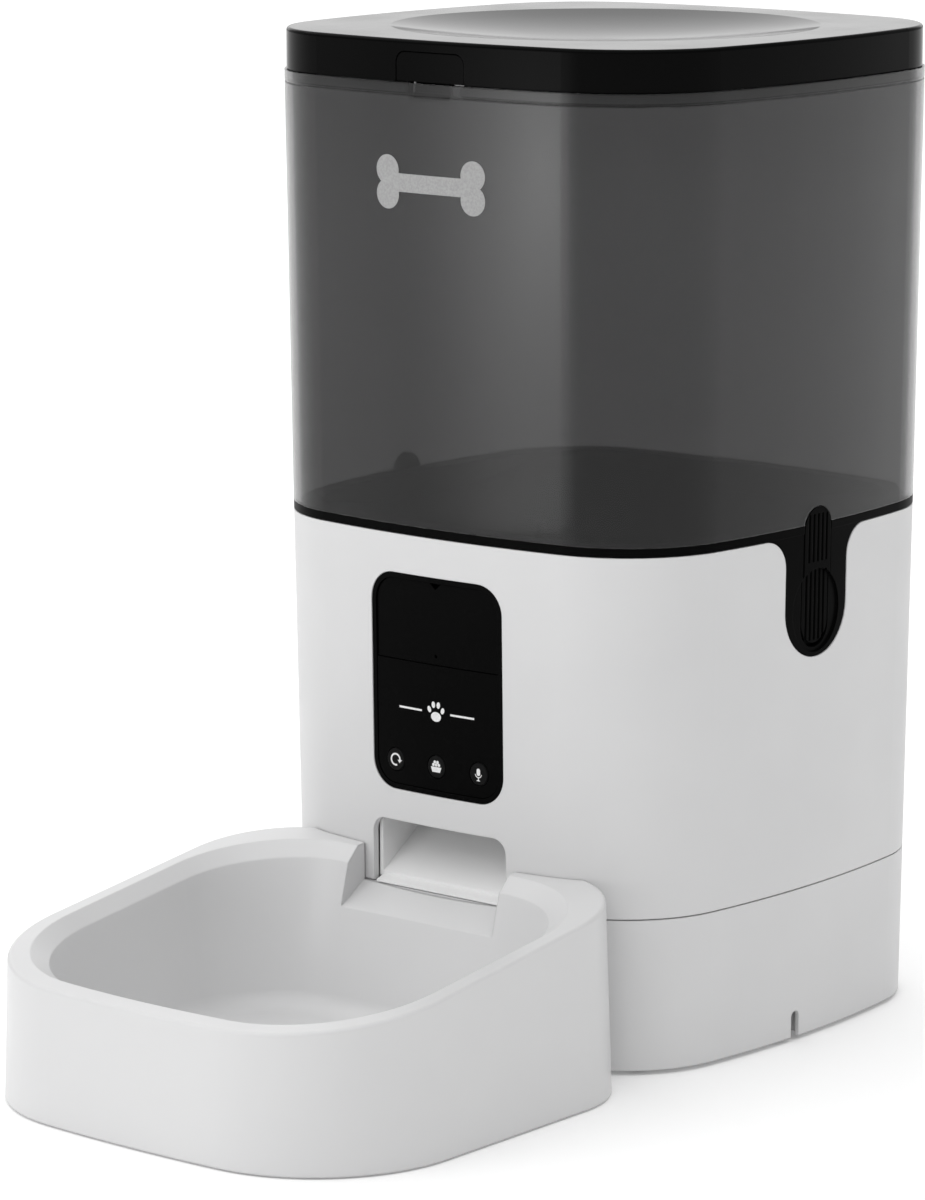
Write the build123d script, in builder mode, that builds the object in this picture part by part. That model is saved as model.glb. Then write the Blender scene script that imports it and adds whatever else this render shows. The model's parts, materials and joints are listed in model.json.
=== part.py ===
from build123d import *
import os
from math import acos, atan2, cos, pi, radians, sin, sqrt, tan

# ---------------------------------------------------------------- driving sizes (mm)
# Main body: a square with bowed sides and round corners, slightly wider towards the top.
BODY_HALF = 95.0
BODY_TOP = 181.7
BODY_DRAFT = 0.0136
SIDE_RADIUS = 394.0
CORNER_RADIUS = 44.0
WALL = 2.5
BASE_BOTTOM = 1.5
SEAM = 55.3
SEAM_GAP = 0.4

# Tank and lid.
TANK_TOP = 338.4
TANK_HALF_TOP = 96.7
TANK_WALL_BOTTOM = 185.0
TANK_LINE = 334.3
LID_HALF = 96.1
LID_TOP = 353.15
DISH_RADIUS = 76.0
DISH_DEPTH = 5.0
HINGE_Y = 99.5
HINGE_Z = 338.9
HINGE_RADIUS = 2.8

# Bowl.
BOWL_FRONT = -250.5
BOWL_HALF = 90.5
BOWL_REAR = -84.0
BOWL_FRONT_CORNER = 55.0
BOWL_REAR_CORNER = 38.0
BOWL_BOTTOM = 0.4
BOWL_RIM_Z = 68.5
BOWL_RIM_Y = -92.0
BOWL_RIM_SLOPE = 0.139
CHANNEL_HALF = 34.5

# The origin is under the middle of the whole feeder, so the main body stands behind it.
BODY_Y = -(BOWL_FRONT + HINGE_Y + HINGE_RADIUS) / 2

# Front panel, outlet and side latches.
PANEL_HALF = 29.6
PANEL_LOW = 90.3
PANEL_HIGH = 168.0
PANEL_CORNER = 10.5
PANEL_SEAM = 137.0
BUTTON_Z = 100.9
BUTTON_X = {"restart_button": -19.0, "feed_button": 0.0, "voice_button": 18.8}
BUTTON_RADIUS = 4.0
OUTLET_HALF = 30.2
OUTLET_HIGH = 79.0
OUTLET_CORNER = 5.5
NOTCH_HALF = 17.9
NOTCH_LOW = 137.7
NOTCH_FILLET = 10.7
LEVER_HALF = 7.5
LEVER_LOW = 142.5
LEVER_HIGH = 190.8
LEVER_PIVOT_X = 90.6
LEVER_PIVOT_Z = 175.0

# Food path and drive.
DECK_Z = 120.0
DECK_THICK = 2.5
CUP_RADIUS = 50.0
CUP_FLOOR = 123.5
CUP_TOP = 155.6
FUNNEL_SLOPE = 0.486
FUNNEL_LIP = 158.0
CHUTE_HALF = 28.4
CHUTE_SLOPE = 0.673
MODULE = 0.8
WHEEL_TEETH = 34
OUTPUT_TEETH = 36
PINION_TEETH = 12
PIN_RADIUS = 1.5
RUN_GAP = 0.06
CASE_FLOOR = 94.0
CASE_HALF = 17.8
IDLER_B_Y = MODULE * (OUTPUT_TEETH + PINION_TEETH) / 2
IDLER_A_Y = IDLER_B_Y + MODULE * (WHEEL_TEETH + PINION_TEETH) / 2
MOTOR_Y = IDLER_A_Y + MODULE * (WHEEL_TEETH + PINION_TEETH) / 2

# Fasteners and pivot pins (radii).
SCREW_SHANK = 1.45
SCREW_HOLE = 1.5
SCREW_CLEAR = 1.7
SCREW_HEAD = 3.0
HEAD_CLEAR = 3.4
PIVOT_PIN = 1.0
CATCH_PIN = 0.75
PRESS_GAP = 0.02

os.makedirs("parts", exist_ok=True)


# ---------------------------------------------------------------- shared geometry
def level(z, x=0, y=0):
    """A level work plane; x and y are measured from the main body's middle."""
    return Plane(origin=(x, BODY_Y + y, z))


def facing_front(y, x=0, z=0):
    """An upright work plane that faces the front; its second direction is up."""
    return Plane(origin=(x, BODY_Y + y, z), x_dir=(1, 0, 0), z_dir=(0, -1, 0))


def facing_side(x, y=0, z=0):
    """An upright work plane that faces +X: first direction +Y, second direction up."""
    return Plane(origin=(x, BODY_Y + y, z), x_dir=(0, 1, 0), z_dir=(1, 0, 0))


def body_half(z):
    return BODY_HALF - BODY_DRAFT * (BODY_TOP - z)


def tank_half(z):
    return BODY_HALF + (TANK_HALF_TOP - BODY_HALF) * (z - BODY_TOP) / (TANK_TOP - BODY_TOP)


def lid_half(_):
    return LID_HALF


def face_y(x, z):
    """How far the body's front face stands from its middle, at x and z."""
    return -(sqrt(SIDE_RADIUS**2 - x**2) - SIDE_RADIUS + body_half(z))


def turned(x, y, quarters):
    for _ in range(quarters):
        x, y = -y, x
    return (x, y)


def bowed_square(half, inset=0):
    """The feeder's plan: four bowed sides joined by round corners, drawn inset from its edge."""
    scale = half / BODY_HALF
    side = SIDE_RADIUS * scale - inset
    corner = CORNER_RADIUS * scale - inset
    reach = SIDE_RADIUS * scale - half
    middle = (sqrt(2 * (side - corner) ** 2 - reach**2) - reach) / 2
    spread = atan2(middle, middle + reach)
    with BuildLine() as edge:
        for quarters in range(4):
            along = [(side * cos(a) - reach, side * sin(a)) for a in (-spread, 0, spread)]
            ThreePointArc(*[turned(x, y, quarters) for x, y in along])
            angles = (spread, pi / 4, pi / 2 - spread)
            around = [(middle + corner * cos(a), middle + corner * sin(a)) for a in angles]
            ThreePointArc(*[turned(x, y, quarters) for x, y in around])
    make_face(edge.edges())


def block(low, high, half_at, inset=0, mode=Mode.ADD):
    """A solid of the feeder's plan between two heights."""
    sections = []
    for z in (low, high):
        with BuildSketch(level(z)) as section:
            bowed_square(half_at(z), inset)
        sections.append(section.sketch)
    loft(sections, mode=mode)


def skin(low, high, half_at, outer, inner):
    """A wall of the feeder's plan between two insets, cut as a tube."""
    block(low, high, half_at, outer)
    block(low - 1, high + 1, half_at, inner, mode=Mode.SUBTRACT)


def rounded_window(half, low, high, radius):
    with Locations((0, (low + high) / 2)):
        RectangleRounded(2 * half, high - low, radius)


def save(piece, name):
    piece.label = name
    export_step(piece, f"parts/{name}.step")


# ---------------------------------------------------------------- base
def notch_profile(gap):
    """The U-shaped notch in the body's side, drawn in (Y, Z), smaller by gap all round."""
    half = NOTCH_HALF - gap
    shoulder = NOTCH_HALF + NOTCH_FILLET
    radius = NOTCH_FILLET + gap
    low = BODY_TOP - NOTCH_FILLET
    dip = radius * (1 - sqrt(0.5))
    with BuildLine() as edge:
        ThreePointArc((shoulder, BODY_TOP + gap), (half + dip, BODY_TOP + gap - dip), (half, low))
        Line((half, low), (half, NOTCH_LOW + NOTCH_HALF))
        ThreePointArc((half, NOTCH_LOW + NOTCH_HALF), (0, NOTCH_LOW + gap), (-half, NOTCH_LOW + NOTCH_HALF))
        Line((-half, NOTCH_LOW + NOTCH_HALF), (-half, low))
        ThreePointArc((-half, low), (-half - dip, BODY_TOP + gap - dip), (-shoulder, BODY_TOP + gap))
        Polyline((-shoulder, BODY_TOP + gap), (-shoulder, BODY_TOP + 3), (shoulder, BODY_TOP + 3),
                 (shoulder, BODY_TOP + gap))
    make_face(edge.edges())


LIP_INSET = 4.4
POST = 72.0
POST_RADIUS = 4.8
BAY_HALF = 54.0
BAY_FRONT = -13.0
BAY_REAR = 53.0
BAY_TOP = 41.0
FOOT_AT = 66.0
CELL_RADIUS = 16.6
CELL_LENGTH = 60.5
CELL_Z = 21.6
CELL_Y = 20.0
CELL_PITCH = 35.2
INLET_Y = -7.5

with BuildPart() as base_shell:
    block(BASE_BOTTOM, SEAM - SEAM_GAP / 2, body_half)
    block(BASE_BOTTOM + WALL, SEAM + 1, body_half, WALL, mode=Mode.SUBTRACT)
    # Lip that locates the upper shell.
    with BuildSketch(level(SEAM - 5)):
        bowed_square(body_half(SEAM), WALL - 0.1)
    extrude(amount=4.7)
    with BuildSketch(level(SEAM - 5)):
        bowed_square(body_half(SEAM), WALL + 0.1)
    extrude(amount=8)
    with BuildSketch(level(SEAM - 5)):
        bowed_square(body_half(SEAM), LIP_INSET)
    extrude(amount=9, mode=Mode.SUBTRACT)
    # The lip stops short under the outlet, where the chute passes.
    with BuildSketch(level(SEAM - SEAM_GAP / 2)):
        with Locations((0, -body_half(SEAM))):
            Rectangle(2 * OUTLET_HALF + 6, 12)
    extrude(amount=9, mode=Mode.SUBTRACT)
    # Battery bay: walls and roof, open underneath.
    with BuildSketch(level(BASE_BOTTOM + WALL, 0, (BAY_FRONT + BAY_REAR) / 2)):
        Rectangle(2 * BAY_HALF + 4, BAY_REAR - BAY_FRONT + 4)
    extrude(amount=BAY_TOP + 2 - BASE_BOTTOM - WALL)
    with BuildSketch(level(BASE_BOTTOM, 0, (BAY_FRONT + BAY_REAR) / 2)):
        Rectangle(2 * BAY_HALF, BAY_REAR - BAY_FRONT)
    extrude(amount=BAY_TOP - BASE_BOTTOM, mode=Mode.SUBTRACT)
    # Ledge round the bay that the door closes against.
    with BuildSketch(level(BASE_BOTTOM + 1.6, 0, (BAY_FRONT + BAY_REAR) / 2)):
        Rectangle(2 * BAY_HALF, BAY_REAR - BAY_FRONT)
        Rectangle(2 * BAY_HALF - 3, BAY_REAR - BAY_FRONT - 3, mode=Mode.SUBTRACT)
    extrude(amount=0.9)
    # Screw bosses.
    with BuildSketch(level(BASE_BOTTOM + WALL)):
        with GridLocations(2 * POST, 2 * POST, 2, 2):
            Circle(POST_RADIUS)
    extrude(amount=SEAM - 0.3 - BASE_BOTTOM - WALL)
    with BuildSketch(level(BASE_BOTTOM)):
        with GridLocations(2 * POST, 2 * POST, 2, 2):
            Circle(SCREW_CLEAR)
    extrude(amount=SEAM, mode=Mode.SUBTRACT)
    with BuildSketch(level(BASE_BOTTOM)):
        with GridLocations(2 * POST, 2 * POST, 2, 2):
            Circle(HEAD_CLEAR)
    extrude(amount=10, mode=Mode.SUBTRACT)
    # Foot recesses.
    with BuildSketch(level(BASE_BOTTOM)):
        for sx, sy in ((-1, -1), (1, -1), (-1, 1), (1, 1)):
            with Locations((sx * FOOT_AT * 0.88, sy * FOOT_AT)):
                Circle(8.2)
    extrude(amount=1, mode=Mode.SUBTRACT)
    # Cable channel under the right side, its notch in the edge, and the inlet's pocket.
    with BuildSketch(level(BASE_BOTTOM + WALL - 1, 77.3, INLET_Y)):
        Rectangle(28.6, 16)
    extrude(amount=13)
    with BuildSketch(level(BASE_BOTTOM, 78, INLET_Y)):
        Rectangle(26, 12)
    extrude(amount=12.5, mode=Mode.SUBTRACT)
    with BuildSketch(facing_side(80, INLET_Y, BASE_BOTTOM)):
        with BuildLine():
            Polyline((-2.15, 7.25), (-2.15, -1), (2.15, -1), (2.15, 7.25))
            ThreePointArc((2.15, 7.25), (0, 9.4), (-2.15, 7.25))
        make_face()
    extrude(amount=20, mode=Mode.SUBTRACT)
    with BuildSketch(facing_side(62, INLET_Y, 8.5)):
        Rectangle(9.2, 3.6)
    extrude(amount=4, mode=Mode.SUBTRACT)
save(base_shell.part, "base_shell")

with BuildPart() as rubber_feet:
    with BuildSketch(level(0)):
        for sx, sy in ((-1, -1), (1, -1), (-1, 1), (1, 1)):
            with Locations((sx * FOOT_AT * 0.88, sy * FOOT_AT)):
                Circle(8)
    extrude(amount=BASE_BOTTOM + 1)
    chamfer(rubber_feet.edges().group_by(Axis.Z)[0], 0.6)
save(rubber_feet.part, "rubber_feet")

with BuildPart() as battery_door:
    with BuildSketch(level(BASE_BOTTOM, 0, (BAY_FRONT + BAY_REAR) / 2)):
        Rectangle(2 * BAY_HALF - 0.6, BAY_REAR - BAY_FRONT - 0.6)
    extrude(amount=1.6)
    with BuildSketch(level(BASE_BOTTOM + 1.6, 0, (BAY_FRONT + BAY_REAR) / 2)):
        Rectangle(2 * BAY_HALF - 3.6, BAY_REAR - BAY_FRONT - 3.6)
    extrude(amount=0.9)
    # Finger grip.
    with BuildSketch(level(BASE_BOTTOM, 0, BAY_REAR - 12)):
        SlotOverall(24, 7)
    extrude(amount=1, mode=Mode.SUBTRACT)
save(battery_door.part, "battery_door")

with BuildPart() as batteries:
    for row in (-1, 0, 1):
        with BuildSketch(facing_front(CELL_Y + CELL_LENGTH / 2, row * CELL_PITCH, CELL_Z)):
            Circle(CELL_RADIUS)
        extrude(amount=CELL_LENGTH - 1.5)
        with BuildSketch(facing_front(CELL_Y - CELL_LENGTH / 2 + 1.5, row * CELL_PITCH, CELL_Z)):
            Circle(4.5)
        extrude(amount=1.5)
save(batteries.part, "batteries")

with BuildPart() as battery_contacts:
    for row in (-1, 0, 1):
        with BuildSketch(facing_front(BAY_FRONT + 0.8, row * CELL_PITCH, CELL_Z)):
            Rectangle(14, 14)
        extrude(amount=0.8)
        with BuildSketch(facing_front(BAY_REAR, row * CELL_PITCH, CELL_Z)):
            Rectangle(14, 14)
        extrude(amount=0.6)
        with BuildSketch(facing_front(BAY_REAR - 0.6, row * CELL_PITCH, CELL_Z)):
            Circle(6)
        with BuildSketch(facing_front(CELL_Y + CELL_LENGTH / 2, row * CELL_PITCH, CELL_Z)):
            Circle(3.5)
        loft()
save(battery_contacts.part, "battery_contacts")

with BuildPart() as power_inlet:
    with BuildSketch(facing_side(57, INLET_Y, 8.5)):
        Rectangle(8.9, 3.3)
    extrude(amount=8.4)
    with BuildSketch(facing_side(59, INLET_Y, 8.5)):
        RectangleRounded(8.2, 2.6, 1.2)
    extrude(amount=8, mode=Mode.SUBTRACT)
    with BuildSketch(facing_side(58, INLET_Y, 8.5)):
        Rectangle(6.6, 0.7)
    extrude(amount=6.5)
save(power_inlet.part, "power_inlet")

# ---------------------------------------------------------------- upper body shell
GRILLE_Z = 88.0
with BuildPart() as body_shell:
    block(SEAM + SEAM_GAP / 2, BODY_TOP, body_half)
    block(SEAM, BODY_TOP + 1, body_half, WALL, mode=Mode.SUBTRACT)
    # Corner posts that take the case screws from below and carry the deck.
    for quarter in range(4):
        angle = 45 + 90 * quarter
        x = POST * sqrt(2) * cos(radians(angle))
        y = POST * sqrt(2) * sin(radians(angle))
        with BuildSketch(level(SEAM + 3.3, x, y)):
            Circle(POST_RADIUS)
            with Locations(Location((0, 0, 0), angle)):
                with Locations((4.4, 0)):
                    Rectangle(6.4, 2.4)
        extrude(amount=DECK_Z - SEAM - 3.3)
    with BuildSketch(level(SEAM)):
        with GridLocations(2 * POST, 2 * POST, 2, 2):
            Circle(SCREW_HOLE)
    extrude(amount=DECK_Z, mode=Mode.SUBTRACT)
    # Panel window and food outlet in the front.
    with BuildSketch(facing_front(-80)):
        rounded_window(PANEL_HALF, PANEL_LOW, PANEL_HIGH, PANEL_CORNER)
    extrude(amount=30, mode=Mode.SUBTRACT)
    with BuildSketch(facing_front(-80)):
        rounded_window(OUTLET_HALF, SEAM - 20, OUTLET_HIGH, OUTLET_CORNER)
    extrude(amount=30, mode=Mode.SUBTRACT)
    # Latch notches, and the pockets below them that the latch barbs catch in.
    with BuildSketch(facing_side(-120)):
        notch_profile(0)
    extrude(amount=240, mode=Mode.SUBTRACT)
    with BuildSketch(facing_side(-body_half(132) + 1.1, 0, 132.4)):
        Rectangle(13, 4)
    extrude(amount=2 * body_half(132) - 2.2, mode=Mode.SUBTRACT)
    # Speaker grille in the back.
    with BuildSketch(facing_front(110, 0, GRILLE_Z)):
        with GridLocations(0, 5, 1, 5):
            SlotOverall(26, 2)
    extrude(amount=40, mode=Mode.SUBTRACT)
save(body_shell.part, "body_shell")

with BuildPart() as deck:
    with BuildSketch(level(DECK_Z)):
        bowed_square(body_half(DECK_Z), WALL + 0.2)
        with Locations((0, -35)):
            Rectangle(56, 30, mode=Mode.SUBTRACT)
        Circle(8, mode=Mode.SUBTRACT)
        with GridLocations(2 * POST, 2 * POST, 2, 2):
            Circle(SCREW_CLEAR, mode=Mode.SUBTRACT)
        # Slots for the front panel's board and the latch levers' free ends.
        with Locations((0, -87)):
            Rectangle(70, 14, mode=Mode.SUBTRACT)
        with Locations((0, -8.5), (0, 59.5)):
            with GridLocations(44, 0, 2, 1):
                Circle(1.25, mode=Mode.SUBTRACT)
    extrude(amount=DECK_THICK)
save(deck.part, "deck")


def screws(places, head_z, tip_z, shank, head, head_height):
    """Upright screws; the head's top face is at head_z and its shank runs to tip_z."""
    up = 1 if tip_z > head_z else -1
    for x, y in places:
        with BuildSketch(level(head_z, x, y)) as head_face:
            Circle(head)
        extrude(head_face.sketch, amount=up * head_height)
        with BuildSketch(level(head_z + up * head_height, x, y)) as shank_face:
            Circle(shank)
        extrude(shank_face.sketch, amount=tip_z - head_z - up * head_height)
        with BuildSketch(level(head_z, x, y)) as slot_face:
            Rectangle(head, 0.7)
            Rectangle(0.7, head)
        extrude(slot_face.sketch, amount=up * 0.8, mode=Mode.SUBTRACT)


CORNERS = [(sx * POST, sy * POST) for sx in (-1, 1) for sy in (-1, 1)]
with BuildPart() as case_screws:
    screws(CORNERS, BASE_BOTTOM + 7.6, SEAM + 14, SCREW_SHANK, SCREW_HEAD, 2.4)
save(case_screws.part, "case_screws")

with BuildPart() as deck_screws:
    screws(CORNERS, DECK_Z + DECK_THICK + 2.0, DECK_Z - 10, SCREW_SHANK, SCREW_HEAD, 2.0)
save(deck_screws.part, "deck_screws")

# ---------------------------------------------------------------- chute
CHUTE_MOUTH = -89.3
CHUTE_MOUTH_Z = 58.6
CHUTE_BACK = -20.0
CHUTE_FRONT = -50.0
CHUTE_SKIN = 1.8
CHUTE_SIDE = 1.6
CHUTE_CLEARANCE = 24.0
CHUTE_LIP = -93.0


def chute_floor(y):
    return CHUTE_MOUTH_Z + CHUTE_SLOPE * (y - CHUTE_MOUTH)


def chute_roof(y):
    return chute_floor(y) + CHUTE_CLEARANCE


with BuildPart() as chute:
    with BuildSketch(facing_side(-CHUTE_HALF - CHUTE_SIDE)):
        with BuildLine():
            Polyline(
                (CHUTE_MOUTH, chute_floor(CHUTE_MOUTH) - CHUTE_SKIN),
                (CHUTE_BACK + CHUTE_SKIN, chute_floor(CHUTE_BACK) - CHUTE_SKIN + 1.2),
                (CHUTE_BACK + CHUTE_SKIN, DECK_Z),
                (CHUTE_FRONT - CHUTE_SKIN, DECK_Z),
                (CHUTE_FRONT - CHUTE_SKIN, chute_roof(CHUTE_FRONT) + CHUTE_SKIN),
                (CHUTE_MOUTH, chute_roof(CHUTE_MOUTH) + CHUTE_SKIN),
                close=True,
            )
        make_face()
    extrude(amount=2 * (CHUTE_HALF + CHUTE_SIDE))
    # The lip that reaches through the outlet, over the base's edge.
    with BuildSketch(facing_side(-CHUTE_HALF)):
        with BuildLine():
            Polyline(
                (CHUTE_MOUTH + 3, chute_floor(CHUTE_MOUTH)),
                (CHUTE_LIP, chute_floor(CHUTE_LIP)),
                (CHUTE_LIP, SEAM + 0.1),
                (CHUTE_MOUTH + 3, SEAM + 0.1),
                close=True,
            )
        make_face()
    extrude(amount=2 * CHUTE_HALF)
    with BuildSketch(facing_side(-CHUTE_HALF)):
        with BuildLine():
            Polyline(
                (CHUTE_LIP - 2, chute_floor(CHUTE_LIP - 2)),
                (CHUTE_BACK, chute_floor(CHUTE_BACK)),
                (CHUTE_BACK, DECK_Z + 1),
                (CHUTE_FRONT, DECK_Z + 1),
                (CHUTE_FRONT, chute_roof(CHUTE_FRONT)),
                (CHUTE_LIP - 2, chute_roof(CHUTE_LIP - 2)),
                close=True,
            )
        make_face()
    extrude(amount=2 * CHUTE_HALF, mode=Mode.SUBTRACT)
save(chute.part, "chute")

# A pair of infrared sensors, one on each side of the chute, sees the food fall.
with BuildPart() as food_sensors:
    for side in (-1, 1):
        with BuildSketch(level(92, side * (CHUTE_HALF + CHUTE_SIDE + 2.0), -38)):
            Rectangle(4, 8)
        extrude(amount=10)
save(food_sensors.part, "food_sensors")


# ---------------------------------------------------------------- front panel
def front_plate(outer, inner, half, low, high, radius):
    """A plate that follows the curved front, with a rounded outline, between two insets."""
    with BuildPart() as plate:
        skin(low - 2, high + 2, body_half, outer, inner)
        with BuildSketch(facing_front(-70)) as window:
            rounded_window(half, low, high, radius)
        extrude(window.sketch, amount=40, mode=Mode.INTERSECT)
    return plate.part


BOARD_Y = -84.0
BOARD_THICK = 1.6
BOARD_POSTS = [(sx * 23.0, z) for sx in (-1, 1) for z in (112.0, 156.0)]
MIC_Z = 140.1
bezel_plate = front_plate(0.2, 4.4, PANEL_HALF - 0.2, PANEL_LOW + 0.2, PANEL_HIGH - 0.2, PANEL_CORNER - 0.2)
bezel_flange = front_plate(2.7, 4.4, PANEL_HALF + 3, PANEL_LOW - 3, PANEL_HIGH + 3, PANEL_CORNER + 3)
bezel_pocket = front_plate(-1, 3.2, PANEL_HALF - 2, PANEL_LOW + 2, PANEL_HIGH - 2, PANEL_CORNER - 2)

with BuildPart() as panel_bezel:
    add(bezel_plate)
    add(bezel_flange)
    add(bezel_pocket, mode=Mode.SUBTRACT)
    for x, z in BOARD_POSTS:
        with BuildSketch(facing_front(BOARD_Y, x, z)):
            Circle(2.5)
        extrude(amount=5.6)
    for x in BUTTON_X.values():
        with BuildSketch(facing_front(-80, x, BUTTON_Z)):
            Circle(2.8)
        extrude(amount=12, mode=Mode.SUBTRACT)
    with BuildSketch(facing_front(-80, 0, MIC_Z)):
        Circle(1.6)
    extrude(amount=20, mode=Mode.SUBTRACT)
    for x, z in BOARD_POSTS:
        with BuildSketch(facing_front(BOARD_Y, x, z)):
            Circle(1.05)
        extrude(amount=5, mode=Mode.SUBTRACT)
save(panel_bezel.part, "panel_bezel")

INFILL_EDGE = 2.15
INFILL = (PANEL_HALF - INFILL_EDGE, PANEL_LOW + INFILL_EDGE, PANEL_HIGH - INFILL_EDGE,
          PANEL_CORNER - INFILL_EDGE)
cover_plate = front_plate(0.8, 3.2, *INFILL)
with BuildPart() as panel_cover:
    add(cover_plate)
    split(bisect_by=level(PANEL_SEAM + 0.1), keep=Keep.TOP)
    with BuildSketch(facing_front(-80, 0, MIC_Z)):
        Circle(0.6)
    extrude(amount=20, mode=Mode.SUBTRACT)
    # Thumbnail notch in the top edge, for lifting the cover out.
    with BuildSketch(facing_front(-90, 0, PANEL_HIGH - INFILL_EDGE)):
        with BuildLine():
            Polyline((-3.2, 0.5), (0, -2.2), (3.2, 0.5), close=True)
        make_face()
    extrude(amount=10, mode=Mode.SUBTRACT)
save(panel_cover.part, "panel_cover")

fascia_plate = front_plate(0.45, 3.2, *INFILL)
with BuildPart() as panel_fascia:
    add(fascia_plate)
    split(bisect_by=level(PANEL_SEAM - 0.1), keep=Keep.BOTTOM)
    for x in BUTTON_X.values():
        with BuildSketch(facing_front(-80, x, BUTTON_Z)):
            Circle(BUTTON_RADIUS + 0.2)
        extrude(amount=20, mode=Mode.SUBTRACT)
save(panel_fascia.part, "panel_fascia")

STEM_END = -89.2
for name, x in BUTTON_X.items():
    with BuildPart() as button:
        with BuildSketch(facing_front(face_y(x, BUTTON_Z) + 0.2, x, BUTTON_Z)):
            Circle(BUTTON_RADIUS)
        extrude(amount=-2.2)
        chamfer(button.edges().group_by(Axis.Y)[0], 0.3)
        with BuildSketch(facing_front(STEM_END, x, BUTTON_Z)):
            Circle(2.4)
        extrude(amount=-face_y(x, BUTTON_Z) + STEM_END - 2.0)
    save(button.part, name)

with BuildPart() as main_board:
    with BuildSketch(facing_front(BOARD_Y + BOARD_THICK)):
        with Locations((0, 127)):
            RectangleRounded(54, 66, 2)
        for x, z in BOARD_POSTS:
            with Locations((x, z)):
                Circle(1.3, mode=Mode.SUBTRACT)
    extrude(amount=BOARD_THICK)
save(main_board.part, "main_board")

with BuildPart() as board_screws:
    for x, z in BOARD_POSTS:
        with BuildSketch(facing_front(BOARD_Y + BOARD_THICK, x, z)):
            Circle(2)
        extrude(amount=-1.4)
        with BuildSketch(facing_front(BOARD_Y + BOARD_THICK, x, z)):
            Circle(1.0)
        extrude(amount=6)
save(board_screws.part, "board_screws")

with BuildPart() as tact_switches:
    for x in BUTTON_X.values():
        with BuildSketch(facing_front(BOARD_Y, x, BUTTON_Z)):
            Rectangle(6, 6)
        extrude(amount=3.4)
        with BuildSketch(facing_front(BOARD_Y - 3.4, x, BUTTON_Z)):
            Circle(1.7)
        extrude(amount=0.8)
save(tact_switches.part, "tact_switches")

with BuildPart() as microphone:
    with BuildSketch(facing_front(BOARD_Y, 0, MIC_Z)):
        Circle(3)
    extrude(amount=2.6)
save(microphone.part, "microphone")

with BuildPart() as board_components:
    back = BOARD_Y + BOARD_THICK
    for x, z, wide, high, deep in ((-8, 132, 12, 12, 1.6), (11, 148, 18, 14, 3.0), (12, 126, 8, 6, 1.4),
                                   (-14, 114, 10, 7, 6.0), (4, 102, 12, 7, 6.0)):
        with BuildSketch(facing_front(back, x, z)):
            Rectangle(wide, high)
        extrude(amount=-deep)
    for x, z in ((-20, 142), (-20, 150), (20, 136)):
        with BuildSketch(facing_front(back, x, z)):
            Circle(3)
        extrude(amount=-8)
save(board_components.part, "board_components")

SPEAKER_Y = body_half(GRILLE_Z) - WALL - 0.9
with BuildPart() as speaker:
    with BuildSketch(facing_front(SPEAKER_Y, 0, GRILLE_Z)):
        Circle(20)
    extrude(amount=2)
    with BuildSketch(facing_front(SPEAKER_Y - 2, 0, GRILLE_Z)):
        Circle(18)
    with BuildSketch(facing_front(SPEAKER_Y - 7, 0, GRILLE_Z)):
        Circle(10)
    loft()
    with BuildSketch(facing_front(SPEAKER_Y - 7, 0, GRILLE_Z)):
        Circle(9)
    extrude(amount=4)
    with BuildSketch(facing_front(SPEAKER_Y, 0, GRILLE_Z)):
        Circle(17)
    with BuildSketch(facing_front(SPEAKER_Y - 3.5, 0, GRILLE_Z)):
        Circle(7)
    loft(mode=Mode.SUBTRACT)
save(speaker.part, "speaker")

# ---------------------------------------------------------------- gear train
ADDENDUM = 0.85 * MODULE
DEDENDUM = 1.15 * MODULE
BACKLASH = 0.16
PRESSURE = radians(20)


def involute(angle):
    return tan(angle) - angle


def gear_profile(teeth, tooth_at):
    """An involute spur gear with one tooth centred at the angle tooth_at, in degrees."""
    pitch = MODULE * teeth / 2
    base = pitch * cos(PRESSURE)
    thickness = pi / (2 * teeth) - BACKLASH / (2 * pitch) + involute(PRESSURE)
    radii = [pitch - DEDENDUM, (base + pitch) / 2, pitch, pitch + ADDENDUM / 2, pitch + ADDENDUM]
    half_angles = [thickness - involute(acos(min(1, base / radius))) for radius in radii]
    flank = list(zip(radii, half_angles))
    points = []
    for tooth in range(teeth):
        middle = radians(tooth_at) + 2 * pi * tooth / teeth
        points += [(r * cos(middle - a), r * sin(middle - a)) for r, a in flank]
        points += [(r * cos(middle + a), r * sin(middle + a)) for r, a in reversed(flank)]
    with BuildLine() as edge:
        Polyline(*points, close=True)
    make_face(edge.edges())


def gear(teeth, tooth_at, y, low, high):
    with BuildSketch(level(low, 0, y)) as face:
        gear_profile(teeth, tooth_at)
    extrude(face.sketch, amount=high - low)


def rod(radius, y, low, high, x=0, mode=Mode.ADD):
    with BuildSketch(level(low, x, y)) as face:
        Circle(radius)
    extrude(face.sketch, amount=high - low, mode=mode)


# Each wheel has a tooth towards the back; each pinion has a gap towards the front to take it.
WHEEL_TOOTH = 90
PINION_TOOTH = 90 + 180 / PINION_TEETH
OUTPUT_LOW, OUTPUT_HIGH = 110.5, 116.5
IDLER_B_LOW, IDLER_B_HIGH = 103.5, 108.5
IDLER_A_LOW, IDLER_A_HIGH = 97.0, 101.5
CASE_FRONT, CASE_REAR = -17.4, 66.0
COVER_LOW = 117.8
SHAFT_RADIUS = 4.0
JOURNAL_RADIUS = 3.0
MOTOR_SHAFT_RADIUS = 1.0

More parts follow.
